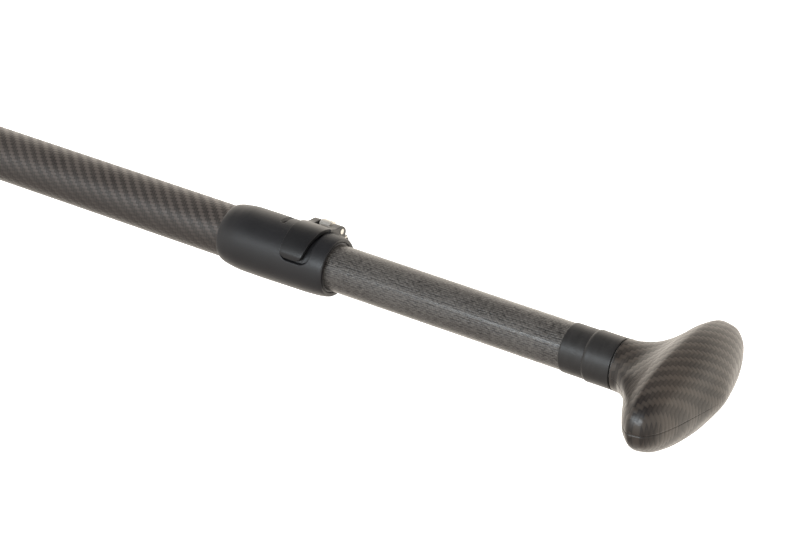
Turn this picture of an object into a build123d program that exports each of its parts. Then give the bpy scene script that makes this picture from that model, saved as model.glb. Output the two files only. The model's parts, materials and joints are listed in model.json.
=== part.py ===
from build123d import *
import math
import os

# Adjustable stand-up paddle with a palm grip and a cam-lever clamp, lying with its power face up.
# All sizes are in millimetres. +X runs along the shaft from the blade to the grip, +Z is up.
# Stations along the shaft are measured from the clamp collar's open rim, towards the grip,
# and turned into X by at(). Heights are measured from the shaft's axis and lifted by AXIS_Z.

# ---- blade: its tip is the lowest point of the object, so it sets the height of the axis ----
BLADE_HALF_WIDTH = 100.0
BLADE_THICK = 6.4
BLADE_DROP = 44.0
SKIN = 0.9
RAIL_WIDTH = 5.0
AXIS_Z = BLADE_DROP + BLADE_THICK / 2

# ---- lengths along the shaft ----
GRIP_START = 173.8
GRIP_LENGTH = 57.4
GRIP_END = GRIP_START + GRIP_LENGTH
TOTAL_LENGTH = 1800.0
BLADE_LENGTH = 395.6
NECK_LENGTH = 60.0
BLADE_TIP = GRIP_END - TOTAL_LENGTH
NECK_END = BLADE_TIP + BLADE_LENGTH
LOWER_START = NECK_END + NECK_LENGTH
INSERT_DEPTH = 22.0
INSERT_GRIP = 50.0
TAPE_START = 143.2
TAPE_STEP = 156.9
TAPE_END = GRIP_START - 1.0
UPPER_START = -400.0
SHOULDER = -37.1
COLLAR_LENGTH = 68.7
BUNG = (-600.0, -560.0)

# ---- tubes ----
LOWER_R = 14.5
LOWER_BORE = 13.4
UPPER_R = 12.75
UPPER_BORE = 11.75
TAPE_INNER_R = 13.3
TAPE_OUTER_R = 13.9

# ---- clamp collar; the clamp is drawn with its screw upright, then turned about the shaft ----
CLAMP_TURN = 9.0
LINER_R = 13.9
LINER_BORE = 12.8
LINER_START = -33.3
LINER_END = -1.0
SLOT_START = -35.6
SLOT_WIDTH = 2.6
SLOT_ENDS_DEG = (-101.0, 85.5)
SLIT_Z = (-3.0, -1.0)
LUGS = (-26.7, -7.4)
LUG_Y = (10.0, 22.4)
LUG_TOP = 3.0
LUG_BOTTOM = -8.0
BORE_PLAY = 0.4

# ---- hinge, cam and lever ----
PIN_Y = 18.0
PIN_Z = 9.1
PIN_R = 1.5
PIN_FREE_PLAY = 0.05
CAM_R = 4.5
CAM_OFFSET = 0.4
FORK = (-21.9, -13.5)
EARS = (-26.2, -7.9)
HINGE_PLAY = 0.8
LEVER_START = -26.4
LEVER_END = -10.6
LEVER_TIP_DEG = 147.0
LEVER_ROOT_DEG = 34.0
HEEL_DEG = (26.0, 62.0)
HEEL_RISE = 1.8
LEVER_INNER_R = 16.9
LEVER_OUTER_R = 19.4
LEVER_OPEN_DEG = 150
POCKET_FLOOR_R = 16.6
POCKET_END = -8.8
POCKET_TIP_PLAY_DEG = 5.0
PLATE_THICK = 0.9
PLATE_REACH = (3.9, 4.1)
FAR_OUT = 26.0

# ---- tension screw ----
SCREW_STATION = -17.7
SCREW_R = 2.0
SCREW_PLAY = 0.05
HEAD_R = 3.5
HEAD_HEIGHT = 3.8
SOCKET_R = 1.73
SOCKET_DEPTH = 2.2
WASHER_R = 4.0
WASHER_THICK = 1.0
HEAD_RECESS_R = 4.3
BARREL_R = 3.8
BARREL_LENGTH = 6.4
NECK_R = 2.9
NECK_PLAY = 0.2
NECK_LOW = 0.5

X_SHIFT = -(BLADE_TIP + GRIP_END) / 2


def at(station):
    """X of a station along the shaft."""
    return station + X_SHIFT


def rod(r, start, end):
    """Solid cylinder about the shaft's axis, between two stations."""
    length = end - start
    return Pos((at(start) + at(end)) / 2, 0, AXIS_Z) * Rot(0, 90, 0) * Cylinder(r, length)


def ring(r_out, r_in, start, end):
    """Tube about the shaft's axis."""
    return rod(r_out, start, end) - rod(r_in, start - 1, end + 1)


def block(stations, ys, zs):
    """Box between two stations, two widths and two heights above the axis."""
    size = (stations[1] - stations[0], ys[1] - ys[0], zs[1] - zs[0])
    middle = (at(sum(stations) / 2), sum(ys) / 2, AXIS_Z + sum(zs) / 2)
    return Pos(*middle) * Box(*size)


def crosswise(r, y, z, stations):
    """Cylinder parallel to the shaft, through the point (y, z) measured from the axis."""
    length = stations[1] - stations[0]
    return Pos(at(sum(stations) / 2), y, AXIS_Z + z) * Rot(0, 90, 0) * Cylinder(r, length)


def upright(r, z_low, z_high):
    """Cylinder along Z on the tension screw's axis."""
    middle = Pos(at(SCREW_STATION), PIN_Y, AXIS_Z + (z_low + z_high) / 2)
    return middle * Cylinder(r, z_high - z_low)


def turned(profile):
    """Solid turned about the shaft's axis from (station, radius) points on its outside."""
    first, last = profile[0][0], profile[-1][0]
    points = [(at(first), 0)] + [(at(s), r) for s, r in profile] + [(at(last), 0)]
    face = make_face(Polyline(*points, close=True))
    return Pos(0, 0, AXIS_Z) * revolve(face, Axis.X)


def sector(r_out, start_deg, end_deg, stations):
    """Pie-shaped prism about the shaft's axis; angles run from +Y towards +Z."""
    count = max(2, math.ceil((end_deg - start_deg) / 30))
    reach = r_out / math.cos(math.radians((end_deg - start_deg) / count / 2))
    points = [(0, 0)]
    for i in range(count + 1):
        angle = math.radians(start_deg + (end_deg - start_deg) * i / count)
        points.append((reach * math.cos(angle), reach * math.sin(angle)))
    plane = Plane(origin=(at(stations[0]), 0, AXIS_Z), x_dir=(0, 1, 0), z_dir=(1, 0, 0))
    return extrude(plane * make_face(Polyline(*points, close=True)), stations[1] - stations[0])


def save(node, shape):
    """Write one node's STEP file."""
    solids = shape.solids()
    export_step(solids[0] if len(solids) == 1 else Compound(solids), f"parts/{node}.step")


# ---------------------------------------------------------------- clamp

def in_place(shape):
    """Clamp part turned about the shaft to where the clamp sits."""
    return Pos(0, 0, AXIS_Z) * Rot(CLAMP_TURN, 0, 0) * Pos(0, 0, -AXIS_Z) * shape


def lug_blocks():
    """The two lugs that the tension screw pulls together, one above the slit and one below."""
    upper = block(LUGS, LUG_Y, (SLIT_Z[1], LUG_TOP))
    lower = block(LUGS, LUG_Y, (LUG_BOTTOM, SLIT_Z[0]))
    lower = fillet(lower.edges().filter_by(Axis.X).sort_by(Axis.Y)[-2:].sort_by(Axis.Z)[0], 2.0)
    return upper + lower


def clamp_collar():
    """Moulded collar: glue socket for the lower shaft, slit clamp band, lugs, lever pocket."""
    outside = [
        (-COLLAR_LENGTH, 15.0), (-66.8, 16.3), (-63.8, 17.0), (-60.9, 17.4), (-58.3, 17.7),
        (-54.6, 17.9), (-42.0, 17.95), (-30.4, 17.8), (-15.4, 17.6), (-7.6, 17.25),
        (-3.9, 16.85), (-1.4, 16.4), (0.0, 15.8),
    ]
    collar = turned(outside) + lug_blocks()
    collar -= rod(LOWER_R, -COLLAR_LENGTH - 1, SHOULDER)
    collar -= rod(UPPER_R + BORE_PLAY, SHOULDER - 1, 1)
    collar -= rod(LINER_R, LINER_START, LINER_END)
    collar -= slot_and_slit()
    collar -= lever_pocket()
    collar -= screw_holes()
    return collar


def slot_and_slit():
    """Circumferential slot that frees the clamp band, and the slit between the lugs."""
    slot = sector(FAR_OUT, *SLOT_ENDS_DEG, (SLOT_START, SLOT_START + SLOT_WIDTH))
    slit = block((SLOT_START, 2.0), (5.0, FAR_OUT), SLIT_Z)
    return slot + slit


def lever_pocket():
    """Recess that the closed lever lies in, with the room its ears need to swing."""
    left = LEVER_START - BORE_PLAY
    hinge_end = EARS[1] + HINGE_PLAY
    tip = LEVER_TIP_DEG + POCKET_TIP_PLAY_DEG
    arc = sector(FAR_OUT, LEVER_ROOT_DEG - 10, tip, (left, POCKET_END))
    arc += sector(FAR_OUT, 18.0, 68.0, (left, hinge_end))
    arc -= rod(POCKET_FLOOR_R, left - 1, 0)
    swing = crosswise(CAM_R + 1.9, PIN_Y, PIN_Z, (left, hinge_end))
    swing -= block((left - 1, 0), (0, FAR_OUT), (LUG_BOTTOM - 2, LUG_TOP))
    swing -= rod(LINER_R + 1.0, left - 1, 0)
    return arc + swing


def screw_holes():
    """Holes in the lugs, the flat for the wear plate and the recess for washer and head."""
    neck_hole = upright(NECK_R + NECK_PLAY, SLIT_Z[1] - 0.1, LUG_TOP + 1)
    screw_hole = upright(SCREW_R, LUG_BOTTOM - 1, SLIT_Z[0] + 0.1)
    plate_flat = block(LUGS, (PIN_Y - PLATE_REACH[0] - 0.1, FAR_OUT), (LUG_TOP, LUG_TOP + 6))
    head_recess = upright(HEAD_RECESS_R, LUG_BOTTOM - 6, LUG_BOTTOM)
    return neck_hole + screw_hole + plate_flat + head_recess


def clamp_liner():
    """Split plastic bush between the collar and the upper shaft."""
    liner = ring(LINER_R, LINER_BORE, LINER_START + 0.1, LINER_END)
    return liner - block((LINER_START - 1, 1), (5.0, FAR_OUT), SLIT_Z)


def cam_wear_plate():
    """Metal plate on the upper lug that the cam ears bear on."""
    reach = (PIN_Y - PLATE_REACH[0], PIN_Y + PLATE_REACH[1])
    plate = block((LUGS[0] + 0.4, LUGS[1] - 0.4), reach, (LUG_TOP, LUG_TOP + PLATE_THICK))
    return plate - upright(NECK_R + NECK_PLAY, LUG_TOP - 1, LUG_TOP + 2)


def cam_lever():
    """Strap round the collar, ending in two ears that are cams about the pivot pin."""
    band = (LEVER_START, LEVER_END)
    strap = ring(LEVER_OUTER_R, LEVER_INNER_R, *band)
    strap &= sector(FAR_OUT, LEVER_ROOT_DEG, LEVER_TIP_DEG, band)
    heel = ring(LEVER_OUTER_R + HEEL_RISE, LEVER_INNER_R + 0.3, *EARS)
    heel &= sector(FAR_OUT, *HEEL_DEG, EARS)
    lever = strap + heel + crosswise(CAM_R, PIN_Y, PIN_Z - CAM_OFFSET, EARS)
    lever -= block(FORK, (8.0, FAR_OUT), (-4.0, PIN_Z + BARREL_R)) & crosswise(5.2, PIN_Y, PIN_Z, FORK)
    lever -= block(FORK, (PIN_Y - 1.0, FAR_OUT), (-4.0, PIN_Z))
    lever -= neck_sweep()
    lever -= rod(LEVER_INNER_R, LEVER_START - 1, 0)
    return lever - crosswise(PIN_R, PIN_Y, PIN_Z, (LEVER_START - 1, 0))


def neck_sweep():
    """Room in the lever's fork for the barrel nut's neck, from half open to fully open."""
    width, reach = FORK[1] - FORK[0], 10.0
    bar = Pos(0, reach / 2, 0) * Box(width, reach, 2 * (NECK_R + 0.4))
    pivot = Pos(at((FORK[0] + FORK[1]) / 2), PIN_Y, AXIS_Z + PIN_Z)
    angles = range(0, LEVER_OPEN_DEG - 90 + 1, 15)
    return Compound([pivot * Rot(angle, 0, 0) * bar for angle in angles])


def lever_pivot_pin():
    """Pin pressed into the lever's ears; the barrel nut turns on it."""
    return crosswise(PIN_R, PIN_Y, PIN_Z, EARS)


def barrel_nut():
    """Eye on the pivot pin, with a threaded neck that reaches down through the upper lug."""
    mid = (SCREW_STATION - BARREL_LENGTH / 2, SCREW_STATION + BARREL_LENGTH / 2)
    nut = crosswise(BARREL_R, PIN_Y, PIN_Z, mid) + upright(NECK_R, NECK_LOW, PIN_Z)
    nut -= crosswise(PIN_R + PIN_FREE_PLAY, PIN_Y, PIN_Z, (LEVER_START - 1, 0))
    return nut - upright(SCREW_R, NECK_LOW - 1, PIN_Z - PIN_R - 0.6)


def tension_screw():
    """Socket-head screw from under the lower lug up into the barrel nut."""
    seat = LUG_BOTTOM - WASHER_THICK
    shank = upright(SCREW_R - SCREW_PLAY, seat, PIN_Z - PIN_R - 1.0)
    head = upright(HEAD_R, seat - HEAD_HEIGHT, seat)
    hexagon = extrude(RegularPolygon(SOCKET_R, 6), SOCKET_DEPTH)
    socket = Pos(at(SCREW_STATION), PIN_Y, AXIS_Z + seat - HEAD_HEIGHT) * hexagon
    return shank + chamfer(head.edges().group_by(Axis.Z)[0], 0.4) - socket


def screw_washer():
    """Flat washer between the screw's head and the lower lug."""
    washer = upright(WASHER_R, LUG_BOTTOM - WASHER_THICK, LUG_BOTTOM)
    return washer - upright(SCREW_R + 0.05, LUG_BOTTOM - 2, LUG_BOTTOM + 1)


# ---------------------------------------------------------------- shafts

def guide_plug():
    """Plug in the upper shaft's lower end, with a journal for the guide ring."""
    seat = rod(UPPER_BORE, UPPER_START, UPPER_START + 28)
    flange = rod(UPPER_R, UPPER_START - 2, UPPER_START)
    journal = rod(10.0, UPPER_START - 14, UPPER_START - 2)
    cap = rod(12.4, UPPER_START - 17, UPPER_START - 14)
    hollow = rod(8.0, UPPER_START - 12, UPPER_START + 29)
    return seat + flange + journal + cap - hollow


def guide_ring():
    """Slippery ring that runs in the lower shaft's bore and turns on the plug's journal."""
    return ring(LOWER_BORE - 0.05, 10.05, UPPER_START - 13.9, UPPER_START - 2.1)


# ---------------------------------------------------------------- grip

# Cross-sections of the grip: distance from its start, half width, half thickness.
GRIP_SECTIONS = [
    (0.0, 14.0, 14.0), (4.0, 15.0, 13.8), (8.5, 18.6, 13.8), (13.0, 23.4, 14.0), (17.5, 31.2, 15.0),
    (22.5, 41.2, 17.9), (27.5, 48.9, 21.9), (33.0, 52.8, 24.3), (38.0, 52.2, 23.4),
    (43.5, 47.2, 20.7), (48.8, 35.8, 16.4), (53.0, 21.0, 10.6), (56.0, 9.5, 5.6),
    (GRIP_LENGTH, 2.4, 1.8),
]
GRIP_SQUARENESS = 2.2
SQUARE_ZONE = (8.0, 24.0)
SHELL_WALL = 1.5


def grip_power(distance):
    """Exponent of the section's outline: round at the neck, squarish further on."""
    t = (distance - SQUARE_ZONE[0]) / (SQUARE_ZONE[1] - SQUARE_ZONE[0])
    t = min(1.0, max(0.0, t))
    return 2 / (2 + (GRIP_SQUARENESS - 2) * t * t * (3 - 2 * t))


def grip_section(distance, half_width, half_thick):
    """Superelliptical section across the shaft."""
    power = grip_power(distance)
    points = []
    for i in range(24):
        angle = 2 * math.pi * i / 24
        c, d = math.cos(angle), math.sin(angle)
        y = half_width * math.copysign(abs(c) ** power, c)
        z = half_thick * math.copysign(abs(d) ** power, d)
        points.append((at(GRIP_START + distance), y, AXIS_Z + z))
    return make_face(Spline(*points, periodic=True))


def grip_form(sections, inset=0.0):
    """Form through the given cross-sections; the inside, reduced by inset, is faceted along X."""
    faces = [grip_section(x, w - inset, t - inset) for x, w, t in sections]
    return loft(faces, ruled=inset > 0)


def grip_inside():
    """Space inside the shells."""
    return grip_form(GRIP_SECTIONS[2:-2], SHELL_WALL)


def insert_bore():
    """Hole in the neck and the core that the insert is glued into."""
    return rod(UPPER_BORE, GRIP_START - 1, GRIP_START + INSERT_DEPTH)


def grip_shell(upper):
    """One half of the grip's carbon skin; the halves meet in the grip's widest plane."""
    skin = grip_form(GRIP_SECTIONS) - grip_inside() - insert_bore()
    heights = (0, 40) if upper else (-40, 0)
    return skin & block((GRIP_START - 5, GRIP_END + 5), (-60, 60), heights)


def grip_insert():
    """Hollow spigot glued into the upper shaft and into the grip."""
    ends = (GRIP_START - INSERT_GRIP, GRIP_START + INSERT_DEPTH)
    return ring(UPPER_BORE, 9.0, *ends)


# ---------------------------------------------------------------- blade

def rise(station):
    """Height of the blade's middle surface above the axis: it bends down, away from its power face."""
    u = max(0.0, (NECK_END - station) / (NECK_END - BLADE_TIP))
    return -BLADE_DROP * u ** 1.35


def layer(low, high):
    """Curved slab that follows the blade's middle surface, between two offsets from it."""
    reach = BLADE_TIP - 20 - NECK_END
    stations = [NECK_END + reach * i / 6 for i in range(7)]
    top = [(at(s), AXIS_Z + rise(s) + high) for s in stations]
    bottom = [(x, z - high + low) for x, z in reversed(top)]
    sides = Line(top[-1], bottom[0]) + Line(bottom[-1], top[0])
    face = make_face(Spline(*top) + Spline(*bottom) + sides)
    return extrude(Plane.XZ * face, BLADE_HALF_WIDTH + 10, both=True)


def plan_edge():
    """Curved edge of the blade in plan, from the neck round the tip and back to the neck."""
    side = [
        (0.0, 21.0), (38.0, 37.0), (93.0, 64.0), (173.0, 89.0),
        (253.0, BLADE_HALF_WIDTH), (323.0, 94.0), (368.0, 70.0), (389.0, 36.0),
    ]
    left = [(at(NECK_END - distance), y) for distance, y in side]
    right = [(x, -y) for x, y in reversed(left)]
    return Spline(*left, (at(BLADE_TIP), 0), *right)


def plan_prism(inset=0.0):
    """Upright prism on the blade's plan outline, with its curved edge moved in by inset."""
    edge = plan_edge()
    if inset:
        steps = [i / 32 for i in range(33)]
        edge = Spline(*[edge @ t + (edge % t).rotate(Axis.Z, 90) * inset for t in steps])
    neck_x = at(NECK_END)
    first, last = edge @ 0, edge @ 1
    closing = Polyline(last, (neck_x, last.Y), (neck_x, first.Y), first) if inset else Line(last, first)
    return Pos(0, 0, -10) * extrude(make_face(edge + closing), 120)


def blade_core():
    """Foam core between the skins."""
    return layer(SKIN - BLADE_THICK / 2, BLADE_THICK / 2 - SKIN) & plan_prism(RAIL_WIDTH)


def blade_skin(face_side):
    """One carbon skin of the blade: the power face on top, the back underneath."""
    outer = BLADE_THICK / 2
    low, high = (outer - SKIN, outer) if face_side else (-outer, SKIN - outer)
    return layer(low, high) & plan_prism(RAIL_WIDTH)


def blade_edge_rail():
    """Tough plastic rail round the edge of the blade."""
    return (layer(-BLADE_THICK / 2, BLADE_THICK / 2) & plan_prism()) - plan_prism(RAIL_WIDTH)


def section(station, half_width, half_thick):
    """Elliptical cross-section of the neck or its spine."""
    start = (at(station), 0, AXIS_Z + rise(station))
    return Plane(origin=start, x_dir=(0, 1, 0), z_dir=(1, 0, 0)) * Ellipse(half_width, half_thick)


def blade_neck():
    """Moulded neck: stub in the lower shaft, taper, and spine ridges on both faces."""
    stub = rod(LOWER_BORE, LOWER_START - 1, LOWER_START + 60)
    taper = loft([section(LOWER_START, LOWER_R, LOWER_R), section(LOWER_START - 30, 16.5, 12.4),
                  section(NECK_END, 20.0, 10.0)])
    spine = loft([section(NECK_END, 20.0, 10.0), section(NECK_END - 63, 14.0, 8.2),
                  section(NECK_END - 133, 8.0, 6.0), section(NECK_END - 203, 3.0, 3.6)])
    spine -= layer(-BLADE_THICK / 2, BLADE_THICK / 2)
    return stub + taper + spine


# ---------------------------------------------------------------- the whole paddle

def build():
    """Every node of the paddle by name."""
    return {
        "blade_foam_core": blade_core(),
        "blade_face_skin": blade_skin(True),
        "blade_back_skin": blade_skin(False),
        "blade_edge_rail": blade_edge_rail(),
        "blade_neck": blade_neck(),
        "lower_shaft": ring(LOWER_R, LOWER_BORE, LOWER_START, SHOULDER),
        "shaft_bung": rod(LOWER_BORE, *BUNG),
        "clamp_collar": in_place(clamp_collar()),
        "clamp_liner": in_place(clamp_liner()),
        "cam_wear_plate": in_place(cam_wear_plate()),
        "cam_lever": in_place(cam_lever()),
        "lever_pivot_pin": in_place(lever_pivot_pin()),
        "barrel_nut": in_place(barrel_nut()),
        "tension_screw": in_place(tension_screw()),
        "screw_washer": in_place(screw_washer()),
        "upper_shaft": ring(UPPER_R, UPPER_BORE, UPPER_START, GRIP_START),
        "guide_plug": guide_plug(),
        "guide_ring": guide_ring(),
        "joint_tape_inner": ring(TAPE_INNER_R, UPPER_R, TAPE_START, TAPE_END),
        "joint_tape_outer": ring(TAPE_OUTER_R, TAPE_INNER_R, TAPE_STEP, TAPE_END),
        "grip_shell_upper": grip_shell(True),
        "grip_shell_lower": grip_shell(False),
        "grip_core": grip_inside() - insert_bore(),
        "grip_insert": grip_insert(),
    }


os.makedirs("parts", exist_ok=True)
for node, shape in build().items():
    save(node, shape)
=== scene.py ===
import bisect
import json
import math

import bpy
from mathutils import Matrix, Vector


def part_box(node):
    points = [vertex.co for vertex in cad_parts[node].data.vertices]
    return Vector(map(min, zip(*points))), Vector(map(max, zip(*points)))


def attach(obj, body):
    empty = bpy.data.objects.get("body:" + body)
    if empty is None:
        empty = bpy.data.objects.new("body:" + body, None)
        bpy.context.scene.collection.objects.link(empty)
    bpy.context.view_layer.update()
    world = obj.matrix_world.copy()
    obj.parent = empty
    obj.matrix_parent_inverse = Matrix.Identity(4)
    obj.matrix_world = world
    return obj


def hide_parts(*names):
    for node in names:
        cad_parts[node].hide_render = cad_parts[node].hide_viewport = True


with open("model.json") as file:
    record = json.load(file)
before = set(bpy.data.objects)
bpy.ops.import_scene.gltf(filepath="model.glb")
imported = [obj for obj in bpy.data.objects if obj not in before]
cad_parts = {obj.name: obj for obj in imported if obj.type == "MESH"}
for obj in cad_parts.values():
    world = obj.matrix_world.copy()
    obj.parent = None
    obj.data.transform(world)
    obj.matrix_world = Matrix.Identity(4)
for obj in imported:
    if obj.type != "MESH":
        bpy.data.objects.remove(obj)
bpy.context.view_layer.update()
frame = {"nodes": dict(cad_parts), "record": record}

# Sizes below are in millimetres: stations run along the shaft from the collar's open rim
# towards the grip, and y and z are measured from the shaft's axis. place() gives metres.
MM = 0.001
RIM_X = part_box("clamp_collar")[1].x
AXIS_Z = (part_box("lower_shaft")[0].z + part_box("lower_shaft")[1].z) / 2


def place(station, y, z):
    """Point in the CAD frame, in metres."""
    return Vector((RIM_X + station * MM, y * MM, AXIS_Z + z * MM))


def polar(station, r, degrees):
    """Point at a radius and an angle round the shaft, from +Y towards +Z."""
    a = math.radians(degrees)
    return place(station, r * math.cos(a), r * math.sin(a))


def station_of(x):
    """Station of an X in metres."""
    return (x - RIM_X) / MM


def smooth(t):
    """0 to 1 with level ends."""
    t = min(1.0, max(0.0, t))
    return t * t * (3 - 2 * t)


def curve(points):
    """Smooth function through (x, y) points that never overshoots them."""
    xs = [p[0] for p in points]
    ys = [p[1] for p in points]
    steps = [(ys[i + 1] - ys[i]) / (xs[i + 1] - xs[i]) for i in range(len(xs) - 1)]
    slopes = [steps[0]]
    for a, b in zip(steps, steps[1:]):
        slopes.append(0.0 if a * b <= 0 else 2 * a * b / (a + b))
    slopes.append(steps[-1])

    def at(x):
        i = min(max(bisect.bisect_right(xs, x) - 1, 0), len(xs) - 2)
        h = xs[i + 1] - xs[i]
        t = min(1.0, max(0.0, (x - xs[i]) / h))
        a = ys[i] * (1 + 2 * t) + slopes[i] * h * t
        b = ys[i + 1] * (3 - 2 * t) - slopes[i + 1] * h * (1 - t)
        return a * (1 - t) ** 2 + b * t * t

    return at


# ---------------------------------------------------------------- node graphs

class Graph:
    """Short way to write shader nodes; Value objects take + - * / and comparisons."""

    def __init__(self, name):
        self.material = bpy.data.materials.new(name)
        self.material.use_nodes = True
        self.tree = self.material.node_tree
        self.shader = self.tree.nodes["Principled BSDF"]
        coords = self.tree.nodes.new("ShaderNodeTexCoord")
        self.point = coords.outputs["Object"]
        split = self.tree.nodes.new("ShaderNodeSeparateXYZ")
        self.tree.links.new(self.point, split.inputs[0])
        self.x, self.y, self.z = (Value(self, s) for s in split.outputs)

    def set(self, socket, value):
        """Links a Value to a socket, or sets a constant on it."""
        if isinstance(value, Value):
            self.tree.links.new(value.socket, socket)
        else:
            socket.default_value = value

    def math(self, operation, *terms):
        node = self.tree.nodes.new("ShaderNodeMath")
        node.operation = operation
        for socket, term in zip(node.inputs, terms):
            self.set(socket, term)
        return Value(self, node.outputs[0])

    def mix(self, share, a, b):
        """Number between a and b."""
        return a + (b - a) * share

    def ramp(self, value, start, end):
        """0 to 1, smoothly, as a value passes from start to end."""
        node = self.tree.nodes.new("ShaderNodeMapRange")
        node.interpolation_type = "SMOOTHSTEP"
        node.inputs["From Min"].default_value = start
        node.inputs["From Max"].default_value = end
        self.set(node.inputs["Value"], value)
        return Value(self, node.outputs[0])

    def attribute(self, name):
        """Both coordinates of a UV map."""
        node = self.tree.nodes.new("ShaderNodeUVMap")
        node.uv_map = name
        split = self.tree.nodes.new("ShaderNodeSeparateXYZ")
        self.tree.links.new(node.outputs[0], split.inputs[0])
        return Value(self, split.outputs[0]), Value(self, split.outputs[1])

    def vector(self, x, y, z):
        node = self.tree.nodes.new("ShaderNodeCombineXYZ")
        for socket, term in zip(node.inputs, (x, y, z)):
            self.set(socket, term)
        return Value(self, node.outputs[0])

    def noise(self, scale, detail=2.0, at=None):
        node = self.tree.nodes.new("ShaderNodeTexNoise")
        node.inputs["Scale"].default_value = scale
        node.inputs["Detail"].default_value = detail
        self.tree.links.new(at.socket if at else self.point, node.inputs["Vector"])
        return Value(self, node.outputs["Fac"])

    def blend(self, share, dark, light):
        """Colour between two colours."""
        node = self.tree.nodes.new("ShaderNodeMix")
        node.data_type = "RGBA"
        node.inputs["A"].default_value = (*dark, 1)
        node.inputs["B"].default_value = (*light, 1)
        self.set(node.inputs["Factor"], share)
        return Value(self, node.outputs["Result"])

    def bump(self, height, distance, strength=1.0):
        node = self.tree.nodes.new("ShaderNodeBump")
        node.inputs["Distance"].default_value = distance
        node.inputs["Strength"].default_value = strength
        self.set(node.inputs["Height"], height)
        self.set(self.shader.inputs["Normal"], Value(self, node.outputs[0]))

    def finish(self, color, roughness, **constants):
        """Sets the shader; names such as coat_weight stand for its sockets."""
        if not isinstance(color, Value):
            color = (*color, 1)
        self.set(self.shader.inputs["Base Color"], color)
        self.set(self.shader.inputs["Roughness"], roughness)
        for name, value in constants.items():
            self.shader.inputs[name.replace("_", " ").title()].default_value = value
        return self.material


class Value:
    """Output of a node."""

    def __init__(self, graph, socket):
        self.graph, self.socket = graph, socket

    def __add__(self, other):
        return self.graph.math("ADD", self, other)

    def __sub__(self, other):
        return self.graph.math("SUBTRACT", self, other)

    def __mul__(self, other):
        return self.graph.math("MULTIPLY", self, other)

    def __truediv__(self, other):
        return self.graph.math("DIVIDE", self, other)

    def __lt__(self, other):
        return self.graph.math("LESS_THAN", self, other)

    def floor(self):
        return self.graph.math("FLOOR", self)

    def hump(self, power=2.0):
        """1 in the middle of 0 to 1, and 0 at both ends."""
        g = self.graph
        centred = g.math("ABSOLUTE", self * 2.0 - 1.0)
        return g.math("SUBTRACT", 1.0, g.math("POWER", centred, power))


def round_shaft(g, radius):
    """(length along the shaft, length round it), in metres, on a surface round the axis."""
    angle = g.math("ARCTAN2", g.z - AXIS_Z, g.y)
    return g.x, angle * radius


def twill(g, u, v, cell, lean=-1.0):
    """2 by 2 twill: (1 where the lengthwise tow is on top, height of the tows)."""
    a, b = u / cell, v / cell
    i, j = a.floor(), b.floor()
    fa, fb = a - i, b - j
    step = g.math("FLOORED_MODULO", i + j * lean, 4.0)
    along = step < 2.0
    float_a = (step + fa) * 0.5
    float_b = (g.math("SUBTRACT", 3.0, step) + (fb if lean < 0 else g.math("SUBTRACT", 1.0, fb))) * 0.5
    height_a = fb.hump() * float_a.hump(4.0)
    height_b = fa.hump() * float_b.hump(4.0)
    return along, g.mix(along, height_b, height_a)


# ---------------------------------------------------------------- materials

def lower_carbon():
    g = Graph("lower_carbon")
    u, v = round_shaft(g, 14.5 * MM)
    along, height = twill(g, u, v, 1.75 * MM)
    wear = g.noise(60.0, 3.0)
    # Painted light: the twill's stripes get more colour contrast on the upper side and less below,
    # standing in for how the light shows the weave on top and washes it out under the lower highlight.
    painted_top_contrast = g.ramp(g.z, AXIS_Z + 1.0 * MM, AXIS_Z + 9.0 * MM)
    stripes = along * 0.62 * (painted_top_contrast * 0.72 + 0.28)
    share = stripes + height * 0.30 + wear * 0.30 + g.noise(420.0, 2.0) * 0.30 - 0.22
    color = g.blend(share, (0.014, 0.0115, 0.010), (0.090, 0.075, 0.066))
    g.bump(height + g.noise(900.0, 1.0) * 0.4, 0.09 * MM)
    rough = along * -0.08 + wear * 0.16 + 0.40
    return g.finish(color, rough, coat_weight=0.15, coat_roughness=0.30)


def upper_carbon():
    g = Graph("upper_carbon")
    u, v = round_shaft(g, 12.7 * MM)
    warp = g.noise(110.0, 2.0) - 0.5
    row = (v / (1.15 * MM) + warp * 0.7).floor()
    shifted = u / (2.4 * MM) + row * 0.5 + warp * 0.8
    over = (shifted - shifted.floor()).hump(6.0)
    across = (v / (1.15 * MM) + warp * 0.7 - row).hump()
    patch = g.noise(400.0, 2.0, g.vector(u, v * 2.2, 0.0))
    broad = g.noise(28.0, 2.0)
    weave = over * across
    share = weave * 0.55 + patch * 1.9 + broad * 0.5 - 0.98
    color = g.blend(share, (0.008, 0.007, 0.0065), (0.130, 0.119, 0.108))
    g.bump(weave + patch * 3.0, 0.09 * MM)
    rough = patch * 0.30 + broad * 0.55 + 0.02
    return g.finish(color, rough, coat_weight=0.35, coat_roughness=0.18)


def grip_carbon():
    g = Graph("grip_carbon")
    u, v = g.attribute("cloth")
    along, height = twill(g, u, v, 1.95 * MM)
    cloud = g.noise(38.0, 3.0)
    share = along * 0.42 + height * 0.22 + cloud * 1.1 - 0.50
    color = g.blend(share, (0.012, 0.009, 0.0075), (0.072, 0.058, 0.047))
    g.bump(height + cloud * 3.0 + g.noise(1100.0, 1.0) * 0.4, 0.05 * MM)
    rough = along * -0.06 + cloud * 0.2 + 0.32
    return g.finish(color, rough, coat_weight=0.12, coat_roughness=0.24)


def blade_carbon():
    g = Graph("blade_carbon")
    along, height = twill(g, g.x, g.y, 2.2 * MM)
    cloud = g.noise(22.0, 3.0)
    share = along * 0.7 + height * 0.2 + cloud * 0.4 - 0.15
    color = g.blend(share, (0.018, 0.017, 0.016), (0.060, 0.057, 0.053))
    g.bump(height + cloud, 0.08 * MM)
    rough = along * -0.06 + cloud * 0.15 + 0.26
    return g.finish(color, rough, coat_weight=0.6, coat_roughness=0.12)


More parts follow.
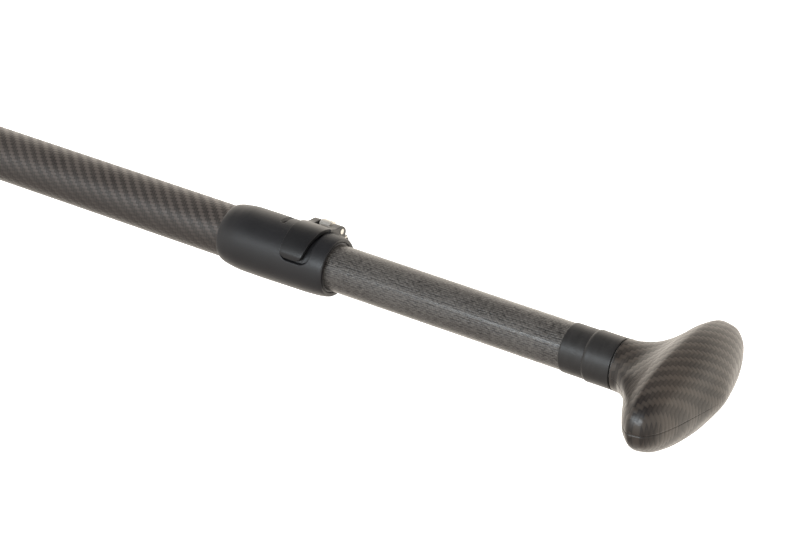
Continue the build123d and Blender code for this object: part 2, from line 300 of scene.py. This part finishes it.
def moulded_black(name, color, roughness, grain, depth):
    """Black plastic with a moulded grain and slight unevenness of gloss."""
    g = Graph(name)
    fine = g.noise(grain, 2.0)
    broad = g.noise(90.0, 3.0)
    light = tuple(c * 1.9 for c in color)
    g.bump(fine, depth * MM)
    return g.finish(g.blend(broad * 0.6 + fine * 0.3, color, light), broad * 0.12 + roughness)


def tape_black():
    g = Graph("tape")
    u, v = round_shaft(g, 13.6 * MM)
    pull = g.noise(70.0, 2.0, g.vector(u * 4.0, v, 0.0))
    g.bump(pull * 2.0 + g.noise(1500.0, 1.0) * 0.3, 0.06 * MM)
    color = g.blend(pull, (0.014, 0.0135, 0.013), (0.030, 0.028, 0.027))
    return g.finish(color, pull * 0.14 + 0.36)


def steel():
    g = Graph("steel")
    grain = g.noise(260.0, 3.0, g.vector(g.x, g.y * 14.0, g.z * 14.0))
    g.bump(grain, 0.02 * MM)
    color = g.blend(grain, (0.62, 0.60, 0.55), (0.84, 0.81, 0.75))
    return g.finish(color, grain * 0.2 + 0.36, metallic=0.7)


def foam():
    g = Graph("core_foam")
    cells = g.noise(500.0, 2.0)
    g.bump(cells, 0.1 * MM)
    return g.finish(g.blend(cells, (0.62, 0.60, 0.54), (0.80, 0.78, 0.71)), cells * 0.1 + 0.8)


MATERIALS = {
    "lower_carbon": lower_carbon(),
    "upper_carbon": upper_carbon(),
    "grip_carbon": grip_carbon(),
    "blade_carbon": blade_carbon(),
    "collar_plastic": moulded_black("collar_plastic", (0.010, 0.010, 0.011), 0.37, 2600.0, 0.030),
    "lever_plastic": moulded_black("lever_plastic", (0.008, 0.008, 0.0085), 0.30, 1800.0, 0.010),
    "edge_plastic": moulded_black("edge_plastic", (0.018, 0.018, 0.019), 0.45, 1500.0, 0.020),
    "liner_plastic": moulded_black("liner_plastic", (0.060, 0.060, 0.063), 0.45, 1200.0, 0.020),
    "tape": tape_black(),
    "steel": steel(),
    "core_foam": foam(),
}


# ---------------------------------------------------------------- pieces

def piece(name, points, faces, slot, body, nodes=(), bevel=0.0):
    """Mesh piece that rides on a body and stands for CAD nodes."""
    mesh = bpy.data.meshes.new(name)
    mesh.from_pydata([tuple(p) for p in points], [], faces)
    mesh.validate()
    mesh.shade_smooth()
    obj = bpy.data.objects.new(name, mesh)
    bpy.context.scene.collection.objects.link(obj)
    mesh.materials.append(MATERIALS[slot])
    if bevel:
        round_edges(obj, bevel)
    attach(obj, body)
    if nodes:
        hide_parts(*nodes)
    return obj


def round_edges(obj, width):
    """Rounds the sharp edges and keeps the flats flat."""
    bevel = obj.modifiers.new("rounded_edges", "BEVEL")
    bevel.width = width * MM
    bevel.segments = 3
    bevel.limit_method = "ANGLE"
    bevel.angle_limit = math.radians(35)
    bevel.harden_normals = True
    return bevel


def ring_faces(rows, columns, first=0):
    """Quads of a grid whose columns close on themselves."""
    faces = []
    for i in range(rows - 1):
        for j in range(columns):
            k = (j + 1) % columns
            a, b = first + i * columns, first + (i + 1) * columns
            faces.append((a + j, b + j, b + k, a + k))
    return faces


def lathe(name, profile, slot, body, nodes, segments=144, radius=None):
    """Closed (station, radius) profile turned about the shaft; radius may change it by angle."""
    points = []
    for s, r in profile:
        for j in range(segments):
            degrees = 360.0 * j / segments
            points.append(polar(s, radius(s, r, degrees) if radius else r, degrees))
    faces = ring_faces(len(profile), segments)
    last = (len(profile) - 1) * segments
    for j in range(segments):
        k = (j + 1) % segments
        faces.append((last + j, j, k, last + k))
    return piece(name, points, faces, slot, body, nodes)


def spread(start, end, count):
    """Evenly spaced values, both ends included."""
    return [start + (end - start) * i / (count - 1) for i in range(count)]


def tube(name, start, end, outer, inner, slot, body, nodes, edge=0.3):
    """Plain tube with eased ends."""
    outside = [(start, outer - edge), (start + edge, outer)]
    outside += [(s, outer) for s in spread(start + 2, end - 2, 24)]
    outside += [(end - edge, outer), (end, outer - edge)]
    return lathe(name, outside + [(end, inner), (start, inner)], slot, body, nodes)


# ---------------------------------------------------------------- clamp collar

COLLAR_START = station_of(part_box("clamp_collar")[0].x)
COLLAR_RADIUS = curve([
    (COLLAR_START, 15.0), (-68.2, 15.7), (-66.8, 16.3), (-63.8, 17.0), (-60.9, 17.4), (-58.3, 17.7),
    (-54.6, 17.9), (-42.0, 17.95), (-30.4, 17.8), (-15.4, 17.6), (-7.6, 17.25), (-3.9, 16.85),
    (-1.4, 16.4), (-0.4, 16.05), (0.0, 15.75),
])
BORE_R = 13.15
SLOT_FLOOR = 13.4
TURN = 9.0
POCKET = {"left": -26.8, "right": -8.8, "tip": 161.0, "root": 30.0, "corner": 5.5, "depth": 2.1}
SLOT = {"left": -35.6, "right": -33.0, "low": TURN - 101.0, "high": TURN + 85.8}
SLIT_DEGREES = (TURN - 9.6, TURN - 3.2)
ARC_R = 18.0


def turned(y, z):
    """Point of the clamp as drawn with its screw upright, turned to where the clamp sits."""
    c, d = math.cos(math.radians(TURN)), math.sin(math.radians(TURN))
    return y * c - z * d, y * d + z * c


def box_distance(x, y, x_range, y_range, corner):
    """Distance outside a rectangle with rounded corners; negative inside it."""
    dx = abs(x - sum(x_range) / 2) - (x_range[1] - x_range[0]) / 2 + corner
    dy = abs(y - sum(y_range) / 2) - (y_range[1] - y_range[0]) / 2 + corner
    outside = math.hypot(max(dx, 0.0), max(dy, 0.0))
    return outside + min(max(dx, dy), 0.0) - corner


def signed_degrees(degrees):
    """The same angle between -180 and 180."""
    return (degrees + 180.0) % 360.0 - 180.0


def collar_radius(station, r, degrees):
    """Collar's outside with the lever's pocket, the slot and the slit cut into it."""
    if r < BORE_R + 1.0:
        return r
    angle = signed_degrees(degrees)
    arc = math.radians(angle) * ARC_R
    tip, root = math.radians(POCKET["tip"]) * ARC_R, math.radians(POCKET["root"]) * ARC_R
    inside = -box_distance(station, arc, (POCKET["left"], POCKET["right"]), (root, tip), POCKET["corner"])
    r -= POCKET["depth"] * smooth(inside / 0.7 + 0.25)
    low, high = math.radians(SLOT["low"]) * ARC_R, math.radians(SLOT["high"]) * ARC_R
    inside = -box_distance(station, arc, (SLOT["left"], SLOT["right"]), (low, high), 1.2)
    cut = smooth(inside / 0.3 + 0.3)
    slit = [math.radians(d) * ARC_R for d in SLIT_DEGREES]
    inside = -box_distance(station, arc, (SLOT["left"], 30.0), slit, 0.1)
    cut = max(cut, smooth(inside / 0.3 + 0.3))
    return r + (SLOT_FLOOR - r) * cut if r > SLOT_FLOOR else r


def add_prism(points, faces, outline, stations, ease=0.35):
    """Adds a prism along the shaft on a (y, z) outline, with eased end edges."""
    count = len(outline)
    cy = sum(p[0] for p in outline) / count
    cz = sum(p[1] for p in outline) / count
    first = len(points)
    start, end = stations
    for s, inset in ((start, ease), (start + ease, 0.0), (end - ease, 0.0), (end, ease)):
        for y, z in outline:
            length = math.hypot(y - cy, z - cz)
            share = 1.0 - inset / length
            points.append(place(s, cy + (y - cy) * share, cz + (z - cz) * share))
    faces.extend(ring_faces(4, count, first))
    faces.append(tuple(range(first, first + count)))
    faces.append(tuple(reversed(range(first + 3 * count, first + 4 * count))))


def lug(points, faces, ys, zs):
    """Adds one clamp lug to the collar's mesh, rounded at its outer corners."""
    outline = [(ys[0], zs[0]), (ys[0], zs[1])]
    corner = 1.6
    for k in range(7):
        a = math.radians(90 - 15 * k)
        outline.append((ys[1] - corner + corner * math.cos(a), zs[1] - corner + corner * math.sin(a)))
    for k in range(7):
        a = math.radians(-15 * k)
        outline.append((ys[1] - corner + corner * math.cos(a), zs[0] + corner + corner * math.sin(a)))
    add_prism(points, faces, [turned(y, z) for y, z in outline], (-26.7, -7.4))


def clamp_collar():
    stations = spread(COLLAR_START, -2.0, 200) + spread(-1.8, -0.3, 8) + [-0.15, -0.05, 0.0]
    outside = [(s, COLLAR_RADIUS(s)) for s in stations]
    rim = [(0.0, 15.7), (-0.1, 14.4), (-0.5, 13.9), (-1.6, 13.5), (-3.0, BORE_R)]
    bore = [(-36.5, BORE_R), (-37.1, 14.5), (COLLAR_START, 14.52)]
    return lathe("clamp_collar_body", outside + rim + bore, "collar_plastic", "root",
                 ["clamp_collar"], segments=384, radius=collar_radius)


def clamp_lugs():
    points, faces = [], []
    lug(points, faces, (12.0, 22.4), (-1.0, 3.0))
    lug(points, faces, (12.0, 22.4), (-8.0, -3.0))
    return piece("clamp_lugs", points, faces, "collar_plastic", "root")


# ---------------------------------------------------------------- cam lever

EAR_STATIONS = ((-26.2, -21.9), (-13.5, -8.15))
STRAP_RIGHT = curve([
    (53.0, -7.9), (60.0, -8.0), (66.0, -8.3), (74.0, -8.9), (84.5, -9.6), (94.0, -10.1),
    (107.0, -10.6), (120.0, -11.2), (134.0, -11.7), (149.0, -12.8), (157.0, -14.4),
])
STRAP_LEFT = curve([
    (53.0, -26.2), (80.0, -27.0), (100.0, -26.8), (120.0, -26.5), (149.0, -26.4), (157.0, -25.2),
])
STRAP_OUTER = curve([
    (53.0, 18.9), (65.0, 19.0), (89.0, 19.15), (129.0, 19.0), (147.0, 18.9), (157.0, 18.0),
])
STRAP_INNER = 16.95


def cam_strap(points, faces):
    """Adds the strap that lies round the collar, from its tip to its ears."""
    first = len(points)
    angles = spread(62.0, 149.0, 56) + spread(149.6, 157.0, 12)
    columns = 12
    ring = 2 * columns
    for degrees in angles:
        left, right = STRAP_LEFT(degrees), STRAP_RIGHT(degrees)
        outer = STRAP_OUTER(degrees)
        inset = 1.4 * smooth((degrees - 152.0) / 5.0)
        for t in spread(0.0, 1.0, columns):
            crown = 0.10 * (1 - (2 * t - 1) ** 2)
            s = left + inset + (right - left - 2 * inset) * t
            points.append(polar(s, outer + crown, degrees))
        for t in spread(1.0, 0.0, columns):
            s = left + inset + (right - left - 2 * inset) * t
            points.append(polar(s, STRAP_INNER, degrees))
    faces.extend(ring_faces(len(angles), ring, first))
    faces.append(tuple(range(first, first + ring)))
    last = first + (len(angles) - 1) * ring
    faces.append(tuple(reversed(range(last, last + ring))))


def ear_outline():
    """Outline of an ear: the strap's thickness, rising over the pin and turning down to the lug."""
    outline = [
        (19.1, 72.0), (19.0, 63.0), (19.1, 56.0), (20.1, 50.0), (21.6, 44.5), (22.7, 40.0),
        (23.3, 35.0), (23.5, 30.0), (23.1, 26.5), (22.5, 24.2), (21.4, 21.5), (20.3, 20.2),
        (19.2, 20.6), (17.9, 23.0), (17.1, 30.0), (16.97, 40.0), (16.97, 56.0), (16.97, 72.0),
    ]
    return [(r * math.cos(math.radians(d)), r * math.sin(math.radians(d))) for r, d in outline]


def cam_lever():
    points, faces = [], []
    cam_strap(points, faces)
    for stations in EAR_STATIONS:
        add_prism(points, faces, ear_outline(), stations)
    return piece("cam_lever_strap", points, faces, "lever_plastic", "lever", ["cam_lever"], bevel=0.35)


# ---------------------------------------------------------------- shafts and tape

def shafts():
    """Both carbon tubes."""
    start = station_of(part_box("lower_shaft")[0].x)
    tube("lower_shaft_tube", start, -37.1, 14.5, 13.4, "lower_carbon", "root", ["lower_shaft"])
    start = station_of(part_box("upper_shaft")[0].x)
    end = station_of(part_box("upper_shaft")[1].x)
    ridges = (119.5, 128.0)
    outer = [(start, 12.45), (start + 0.4, 12.73)]
    for s in spread(start + 2, end - 1, 600):
        swell = sum(0.06 * math.exp(-((s - r) / 1.2) ** 2) for r in ridges)
        outer.append((s, 12.73 + swell))
    outer += [(end, 12.45), (end, 11.75), (start, 11.75)]
    lathe("upper_shaft_tube", outer, "upper_carbon", "handle", ["upper_shaft"])


def tape_bands():
    """Two layers of tape: a wide band, and a narrower one over its end towards the grip."""
    start, end = (station_of(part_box("joint_tape_inner")[i].x) for i in (0, 1))
    inner = [(start, 12.85), (start + 0.1, 13.15), (start + 0.5, 13.26)]
    inner += [(s, 13.28) for s in spread(start + 1, end - 0.5, 40)]
    inner += [(end, 13.2), (end, 12.78), (start, 12.78)]
    lathe("joint_tape_wide", inner, "tape", "handle", ["joint_tape_inner"])
    step = station_of(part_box("joint_tape_outer")[0].x)
    outer = [(step, 13.29), (step + 0.2, 13.5), (step + 1.0, 13.83), (step + 1.8, 13.88)]
    outer += [(s, 13.82) for s in spread(step + 3.0, end - 1.4, 24)]
    outer += [(end - 0.5, 13.88), (end - 0.1, 13.86), (end, 13.6), (end, 13.29)]

    def skew(station, r, degrees):
        """Makes the narrow band's outside slightly uneven round the shaft."""
        lift = 0.10 * math.sin(math.radians(degrees * 2 + 40)) + 0.05 * math.sin(math.radians(degrees * 5))
        return r + lift * 0.2 if r > 13.45 else r

    lathe("joint_tape_narrow", outer, "tape", "handle", ["joint_tape_outer"], radius=skew)


# ---------------------------------------------------------------- palm grip

GRIP_START = 173.8
GRIP_LENGTH = 57.4


def squared(points):
    """Smooth curve of the squares, so that the form closes round at its end."""
    return curve([(x, r * r) for x, r in points] + [(GRIP_LENGTH, 0.0)])


# Half widths and half thicknesses by distance from the grip's start.
GRIP_WIDTH = squared([
    (0, 14.0), (4, 15.0), (8.5, 18.6), (13, 23.4), (17.5, 31.2), (22.5, 41.2), (27.5, 48.9),
    (33, 52.75), (38, 52.1), (43.5, 47.2), (48.8, 35.8), (53, 21.0), (56, 9.5),
])
GRIP_THICK = squared([
    (0, 14.0), (4, 13.8), (8.5, 13.8), (13, 14.0), (17.5, 15.0), (22.5, 17.9), (27.5, 21.9),
    (33, 24.25), (38, 23.35), (43.5, 20.7), (48.8, 16.4), (53, 10.6), (56, 5.6),
])
GRIP_SQUARENESS = 2.2
RIDGE = 33.0
CLOTH_REACH = 52.0
CLOTH_DRAPE = 0.6


def grip_point(distance, degrees):
    """Point on the grip: round at the neck, with squarish sections further on."""
    power = 2 / (2 + (GRIP_SQUARENESS - 2) * smooth((distance - 8.0) / 16.0))
    a = math.radians(degrees)
    c, d = math.cos(a), math.sin(a)
    half_width = math.sqrt(max(0.0, GRIP_WIDTH(distance)))
    half_thick = math.sqrt(max(0.0, GRIP_THICK(distance)))
    y = half_width * math.copysign(abs(c) ** power, c)
    z = half_thick * math.copysign(abs(d) ** power, d)
    return GRIP_START + distance, y, z


def grip_height(distance, y):
    """Height of the upper half above the parting plane."""
    power = 2 + (GRIP_SQUARENESS - 2) * smooth((distance - 8.0) / 16.0)
    half_width = math.sqrt(max(1e-6, GRIP_WIDTH(distance)))
    share = min(1.0, abs(y) / half_width)
    return math.sqrt(max(0.0, GRIP_THICK(distance))) * max(0.0, 1 - share ** power) ** (1 / power)


def cloth_lengths():
    """Length over the surface along the shaft's direction, by y: lists for interpolation."""
    xs = spread(0.0, GRIP_LENGTH, 116)
    ridge = min(range(len(xs)), key=lambda i: abs(xs[i] - RIDGE))
    table = []
    for y in spread(0.0, CLOTH_REACH, 53):
        heights = [grip_height(x, y) for x in xs]
        steps = [math.hypot(xs[i + 1] - xs[i], heights[i + 1] - heights[i]) for i in range(len(xs) - 1)]
        lengths = [0.0]
        for step in steps:
            lengths.append(lengths[-1] + step)
        table.append([length - lengths[ridge] for length in lengths])
    return table


def cloth_length(table, distance, y):
    """Length over the surface from the ridge; CLOTH_DRAPE takes it from nearer the middle."""
    i = min(len(table[0]) - 1.001, max(0.0, distance / GRIP_LENGTH * (len(table[0]) - 1)))
    j = min(len(table) - 1.001, abs(y) * CLOTH_DRAPE / CLOTH_REACH * (len(table) - 1))
    a, b = int(i), int(j)
    fa, fb = i - a, j - b
    near = table[b][a] * (1 - fa) + table[b][a + 1] * fa
    far = table[b + 1][a] * (1 - fa) + table[b + 1][a + 1] * fa
    return near * (1 - fb) + far * fb


def grip_half(name, start_degrees, node, table):
    """One half shell of the grip, its edge turned in at the joint line."""
    rows = 110
    angles = [0.0, 0.6] + spread(2.0, 178.0, 93) + [179.4, 180.0]
    columns = len(angles) - 1
    points, faces, cloth = [], [], []
    for i in range(rows):
        t = i / (rows - 1)
        distance = GRIP_LENGTH * (1 - (1 - t) ** 1.7)
        for j, angle in enumerate(angles):
            station, y, z = grip_point(distance, start_degrees + angle)
            cloth.append((cloth_length(table, distance, y) * MM, y * MM))
            if j in (0, columns):
                ahead = max(0.0, distance - 30.0)
                inset = 0.5 / max(1.0, math.hypot(ahead, y))
                station, y = station - ahead * inset, y * (1 - inset)
            points.append(place(station, y, z))
    wide = columns + 1
    for i in range(rows - 1):
        for j in range(columns):
            a = i * wide + j
            faces.append((a, a + 1, a + wide + 1, a + wide))
    shell = piece(name, points, faces, "grip_carbon", "handle", [node])
    layer = shell.data.uv_layers.new(name="cloth")
    for loop in shell.data.loops:
        layer.data[loop.index].uv = cloth[loop.vertex_index]
    return shell


def palm_grip():
    table = cloth_lengths()
    grip_half("grip_shell_top", 0.0, "grip_shell_upper", table)
    grip_half("grip_shell_bottom", 180.0, "grip_shell_lower", table)


# ---------------------------------------------------------------- carried-over CAD nodes

def dress_cad_nodes():
    """Gives every CAD node its material, and eased edges where it is small hardware."""
    for row in frame["record"]["subparts"]:
        node = frame["nodes"][row["node"]]
        node.data.materials.clear()
        node.data.materials.append(MATERIALS[row["material_slot"]])
    for name in ("barrel_nut", "lever_pivot_pin", "screw_washer", "cam_wear_plate"):
        round_edges(frame["nodes"][name], 0.15)


# ---------------------------------------------------------------- studio

def studio():
    """White floor, painted surroundings, a cool softbox in front and a light overhead."""
    scene = bpy.context.scene
    scene.view_settings.view_transform = "Standard"
    world = bpy.data.worlds.new("studio")
    scene.world = world
    world.use_nodes = True
    paint_surroundings(world.node_tree)

    mesh = bpy.data.meshes.new("floor")
    reach = 30.0
    mesh.from_pydata([(-reach, -reach, 0), (reach, -reach, 0), (reach, reach, 0), (-reach, reach, 0)],
                     [], [(0, 1, 2, 3)])
    floor = bpy.data.objects.new("floor", mesh)
    floor.location.z = -0.0005
    floor.visible_diffuse = False
    floor.visible_glossy = False
    scene.collection.objects.link(floor)
    g = Graph("floor_white")
    color = g.blend(g.noise(3.0), (0.90, 0.895, 0.885), (0.93, 0.925, 0.915))
    g.finish(color, 0.8, emission_strength=1.0)
    g.shader.inputs["Emission Color"].default_value = (1.0, 1.0, 1.0, 1)
    mesh.materials.append(g.material)

    area_light("front_softbox", location=(0.60, -2.6, 1.25), target=(0.65, 0.0, 0.02),
               size=(2.6, 0.55), power=50.0, color=(0.84, 0.93, 1.0))
    area_light("overhead", location=(0.3, 0.4, 3.4), target=(0.3, 0.0, 0.0),
               size=(4.0, 3.0), power=75.0, color=(1.0, 0.98, 0.95), glossy=False)


def paint_surroundings(tree):
    """Colours the world by direction; each layer is an axis, a ramp's start and end, and a colour."""
    nodes, links = tree.nodes, tree.links
    split = nodes.new("ShaderNodeSeparateXYZ")
    links.new(nodes.new("ShaderNodeTexCoord").outputs["Generated"], split.inputs[0])
    layers = (
        ("Z", -0.70, -0.05, (0.40, 0.38, 0.36)),
        ("Y", -0.25, 0.45, (0.80, 0.74, 0.66)),
        ("Z", 0.30, 0.75, (0.030, 0.030, 0.034)),
    )
    color = (0.200, 0.180, 0.165, 1)
    for axis, start, end, laid in layers:
        ramp = nodes.new("ShaderNodeMapRange")
        ramp.interpolation_type = "SMOOTHSTEP"
        ramp.inputs["From Min"].default_value = start
        ramp.inputs["From Max"].default_value = end
        links.new(split.outputs[axis], ramp.inputs["Value"])
        mix = nodes.new("ShaderNodeMix")
        mix.data_type = "RGBA"
        links.new(ramp.outputs[0], mix.inputs["Factor"])
        if isinstance(color, tuple):
            mix.inputs["A"].default_value = color
        else:
            links.new(color, mix.inputs["A"])
        mix.inputs["B"].default_value = (*laid, 1)
        color = mix.outputs["Result"]
    links.new(color, nodes["Background"].inputs["Color"])
    nodes["Background"].inputs["Strength"].default_value = 2.5


def area_light(name, location, target, size, power, color, glossy=True):
    light = bpy.data.lights.new(name, "AREA")
    light.shape = "RECTANGLE"
    light.size, light.size_y = size
    light.energy = power
    light.color = color
    obj = bpy.data.objects.new(name, light)
    obj.location = location
    obj.rotation_euler = (Vector(target) - Vector(location)).to_track_quat("-Z", "Y").to_euler()
    obj.visible_glossy = glossy
    obj.visible_camera = False
    bpy.context.scene.collection.objects.link(obj)


def camera():
    """Level camera, in front of the paddle on the grip's side, looking down on it."""
    data = bpy.data.cameras.new("camera")
    data.lens = 135.0
    data.sensor_width = 36.0
    azimuth, elevation = math.radians(33.18), math.radians(30.93)
    back = Vector((math.sin(azimuth) * math.cos(elevation), -math.cos(azimuth) * math.cos(elevation),
                   math.sin(elevation)))
    obj = bpy.data.objects.new("camera", data)
    right = Vector((0, 0, 1)).cross(back).normalized()
    up = back.cross(right)
    turn = Matrix((right, up, back)).transposed()
    obj.matrix_world = Matrix.Translation(place(775.51, -1125.38, 819.60)) @ turn.to_4x4()
    bpy.context.scene.collection.objects.link(obj)
    bpy.context.scene.camera = obj


camera()
studio()
dress_cad_nodes()
shafts()
clamp_collar()
clamp_lugs()
cam_lever()
tape_bands()
palm_grip()
